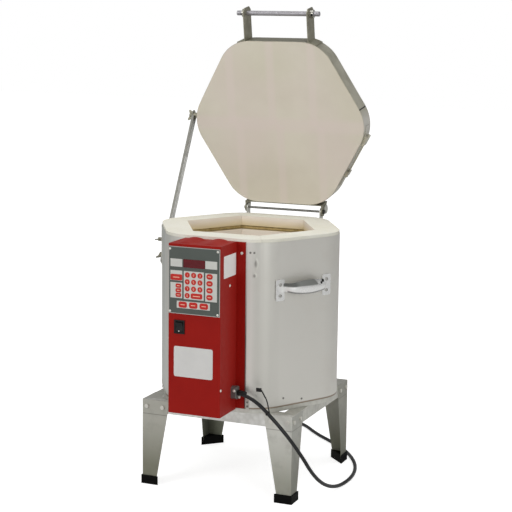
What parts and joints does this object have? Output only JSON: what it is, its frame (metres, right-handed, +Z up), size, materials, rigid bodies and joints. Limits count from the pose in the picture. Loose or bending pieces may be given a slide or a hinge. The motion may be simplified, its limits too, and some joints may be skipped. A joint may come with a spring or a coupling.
{
  "type": "ceramic kiln",
  "caption": "Six-sided top-loading electric ceramic kiln on a four-legged stand, with a hinged lid, lid stay, side handles and a control box.",
  "frame": {"origin": "on the floor, in the middle of the space the kiln takes up without its mains cord (half way across its width and its depth)", "axes": "+Z up; -Y out of the front, the face with the control box; +X towards the kiln's right-hand side as seen by someone facing the front"},
  "size_m": [0.5757, 0.9316, 1.1846],
  "materials": {
    "jacket_steel": "satin",
    "galvanised": "satin",
    "plated": "polished",
    "handle_chrome": "polished",
    "box_red": "satin",
    "faceplate_alloy": "satin",
    "overlay_grey": "matte",
    "display_red": "gloss",
    "panel_light": "matte",
    "key_red": "matte",
    "black_plastic": "matte",
    "cord_black": "matte",
    "brick": "matte",
    "element_wire": "matte",
    "probe_ceramic": "matte",
    "board_green": "satin",
    "relay_case": "satin",
    "transformer_core": "satin"
  },
  "bodies": {
    "kiln": {"base_pan": "galvanised", "box_bottom": "box_red", "box_shell": "box_red", "box_top": "box_red", "bracket_wing_screw": "plated", "control_board": "board_green", "cord": "cord_black", "cord_clamp": "galvanised", "cord_coil": "cord_black", "cord_tie": "black_plastic", "display_window": "display_red", "element_1": "element_wire", "element_2": "element_wire", "element_3": "element_wire", "faceplate": "faceplate_alloy", "feet": "black_plastic", "floor_brick": "brick", "function_keys": "key_red", "handle_left": "handle_chrome", "handle_right": "handle_chrome", "hinge_base": "galvanised", "hinge_rod": "plated", "jacket": "jacket_steel", "jacket_lap": "jacket_steel", "key_panels": "panel_light", "leg_back_left": "galvanised", "leg_back_right": "galvanised", "leg_front_left": "galvanised", "leg_front_right": "galvanised", "number_keys": "key_red", "overlay": "overlay_grey", "pan_clips": "plated", "plug": "black_plastic", "rail_back": "galvanised", "rail_front": "galvanised", "rail_left": "galvanised", "rail_right": "galvanised", "relay": "relay_case", "stand_bolts": "plated", "stay_bracket": "galvanised", "switch_body": "black_plastic", "terminal_block": "probe_ceramic", "thermocouple": "probe_ceramic", "transformer": "transformer_core", "wall_course_1": "brick", "wall_course_2": "brick", "wall_course_3": "brick"},
    "lid": {"lid_brick": "brick", "lid_band": "jacket_steel", "band_clamp": "galvanised", "lid_hinge": "galvanised", "grip_bracket_left": "galvanised", "grip_bracket_right": "galvanised", "stay_lid_bolt": "plated"},
    "grip": {"grip_bar": "plated", "grip_collars": "plated"},
    "stay": {"stay_arm": "galvanised"},
    "lid_nut": {"stay_lid_nut": "plated"},
    "stud_nut": {"stay_stud_nut": "plated"},
    "rocker": {"rocker": "black_plastic"}
  },
  "joints": [
    {"name": "lid_hinge", "type": "hinge", "parent": "kiln", "child": "lid", "pos_m": [0.012, 0.2585, 0.6535], "axis": [1, 0, 0], "range_deg": [0, 80]},
    {"name": "stay_pivot", "type": "hinge", "parent": "lid", "child": "stay", "pos_m": [-0.24, 0.22287, 0.89589], "axis": [1, 0, 0], "range_deg": [-40, 0]},
    {"name": "grip_turn", "type": "hinge", "parent": "lid", "child": "grip", "pos_m": [0.017, 0.18142, 1.16722], "axis": [1, 0, 0], "continuous": true},
    {"name": "lid_nut_turn", "type": "hinge", "parent": "lid", "child": "lid_nut", "pos_m": [-0.24, 0.22287, 0.89589], "axis": [1, 0, 0], "continuous": true},
    {"name": "stud_nut_turn", "type": "hinge", "parent": "kiln", "child": "stud_nut", "pos_m": [-0.24, 0.03958, 0.5435], "axis": [1, 0, 0], "continuous": true},
    {"name": "rocker_switch", "type": "hinge", "parent": "kiln", "child": "rocker", "pos_m": [-0.0338, -0.2848, 0.437], "axis": [1, 0, 0], "range_deg": [-10, 0]}
  ],
  "couplings": [
    {"joint": "stay_pivot", "follows": "lid_hinge", "ratio": -0.5}
  ]
}
